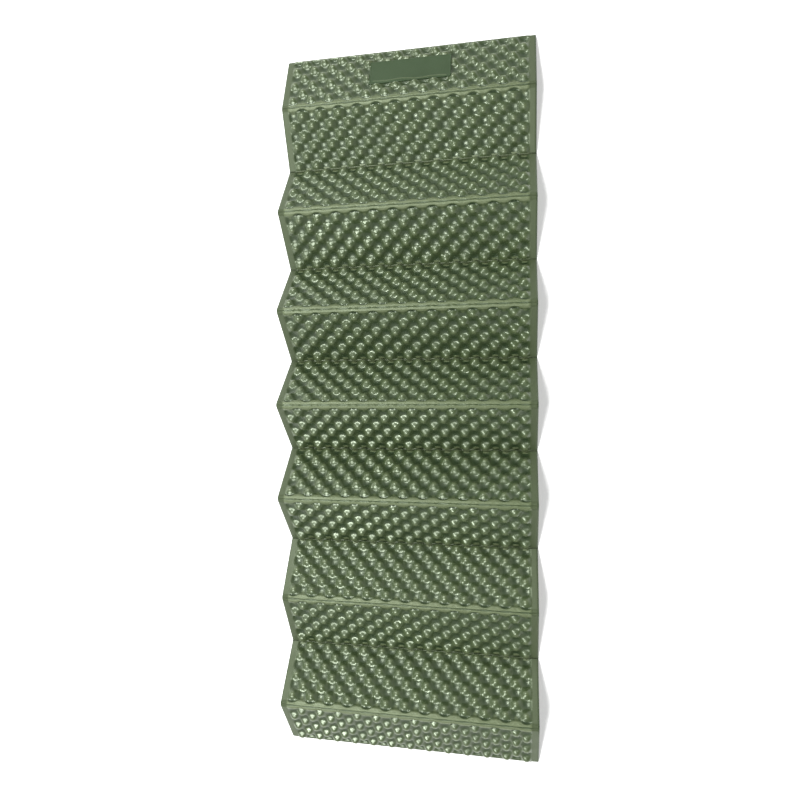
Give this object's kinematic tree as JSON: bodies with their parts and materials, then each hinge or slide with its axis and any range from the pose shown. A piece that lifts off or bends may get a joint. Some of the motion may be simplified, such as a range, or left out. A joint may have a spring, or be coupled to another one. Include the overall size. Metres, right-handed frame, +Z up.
{
  "type": "folding foam sleeping pad",
  "caption": "Accordion-fold sleeping pad of closed-cell foam with egg-crate bumps, opened halfway into a zigzag; each crease opens flat and folds shut.",
  "frame": {"origin": "on the ground under the middle of the half-open pad", "axes": "+X to the right across the pad, +Y along the pad toward the first panel with the plain label, +Z up"},
  "size_m": [0.56, 1.5666, 0.0937],
  "materials": {
    "foam": "olive green closed-cell foam with a soft moulded skin",
    "fold_foam": "the same foam pressed thin along the creases",
    "label_foam": "the same foam, plain and smooth"
  },
  "bodies": {
    "panel_body_01": {"panel_01": "foam", "label_pad": "label_foam"},
    "panel_body_02": {"panel_02": "foam", "fold_hinge_01": "fold_foam"},
    "panel_body_03": {"panel_03": "foam", "fold_hinge_02": "fold_foam"},
    "panel_body_04": {"panel_04": "foam", "fold_hinge_03": "fold_foam"},
    "panel_body_05": {"panel_05": "foam", "fold_hinge_04": "fold_foam"},
    "panel_body_06": {"panel_06": "foam", "fold_hinge_05": "fold_foam"},
    "panel_body_07": {"panel_07": "foam", "fold_hinge_06": "fold_foam"},
    "panel_body_08": {"panel_08": "foam", "fold_hinge_07": "fold_foam"},
    "panel_body_09": {"panel_09": "foam", "fold_hinge_08": "fold_foam"},
    "panel_body_10": {"panel_10": "foam", "fold_hinge_09": "fold_foam"},
    "panel_body_11": {"panel_11": "foam", "fold_hinge_10": "fold_foam"},
    "panel_body_12": {"panel_12": "foam", "fold_hinge_11": "fold_foam"},
    "panel_body_13": {"panel_13": "foam", "fold_hinge_12": "fold_foam"},
    "panel_body_14": {"panel_14": "foam", "fold_hinge_13": "fold_foam"}
  },
  "joints": [
    {"name": "fold_07", "type": "hinge", "parent": "panel_body_07", "child": "panel_body_08", "pos_m": [0, -0.00801, 0.089], "axis": [1, 0, 0], "range_deg": [-87.97, 92.03]},
    {"name": "fold_08", "type": "hinge", "parent": "panel_body_08", "child": "panel_body_09", "pos_m": [0, -0.10868, 0.00509], "axis": [-1, 0, 0], "range_deg": [-85.23, 94.77]},
    {"name": "fold_09", "type": "hinge", "parent": "panel_body_09", "child": "panel_body_10", "pos_m": [0, -0.21331, 0.084], "axis": [1, 0, 0], "range_deg": [-81.52, 98.48]},
    {"name": "fold_10", "type": "hinge", "parent": "panel_body_10", "child": "panel_body_11", "pos_m": [0, -0.3192, 0.00678], "axis": [-1, 0, 0], "range_deg": [-69.18, 110.82]},
    {"name": "fold_11", "type": "hinge", "parent": "panel_body_11", "child": "panel_body_12", "pos_m": [0, -0.43828, 0.0615], "axis": [1, 0, 0], "range_deg": [-57.76, 122.24]},
    {"name": "fold_12", "type": "hinge", "parent": "panel_body_12", "child": "panel_body_13", "pos_m": [0, -0.55736, 0.00678], "axis": [-1, 0, 0], "range_deg": [-64.19, 115.81]},
    {"name": "fold_13", "type": "hinge", "parent": "panel_body_13", "child": "panel_body_14", "pos_m": [0, -0.66956, 0.0745], "axis": [1, 0, 0], "range_deg": [-70.15, 109.85]},
    {"name": "fold_06", "type": "hinge", "parent": "panel_body_07", "child": "panel_body_06", "pos_m": [0, 0.09273, 0.00518], "axis": [1, 0, 0], "range_deg": [-84.59, 95.41]},
    {"name": "fold_05", "type": "hinge", "parent": "panel_body_06", "child": "panel_body_05", "pos_m": [0, 0.19818, 0.083], "axis": [-1, 0, 0], "range_deg": [-80.82, 99.18]},
    {"name": "fold_04", "type": "hinge", "parent": "panel_body_05", "child": "panel_body_04", "pos_m": [0, 0.30421, 0.00598], "axis": [1, 0, 0], "range_deg": [-75.15, 104.85]},
    {"name": "fold_03", "type": "hinge", "parent": "panel_body_04", "child": "panel_body_03", "pos_m": [0, 0.41684, 0.073], "axis": [-1, 0, 0], "range_deg": [-69, 111]},
    {"name": "fold_02", "type": "hinge", "parent": "panel_body_03", "child": "panel_body_02", "pos_m": [0, 0.53051, 0.00778], "axis": [1, 0, 0], "range_deg": [-54.29, 125.71]},
    {"name": "fold_01", "type": "hinge", "parent": "panel_body_02", "child": "panel_body_01", "pos_m": [0, 0.65646, 0.044], "axis": [-1, 0, 0], "range_deg": [-40, 140]}
  ]
}
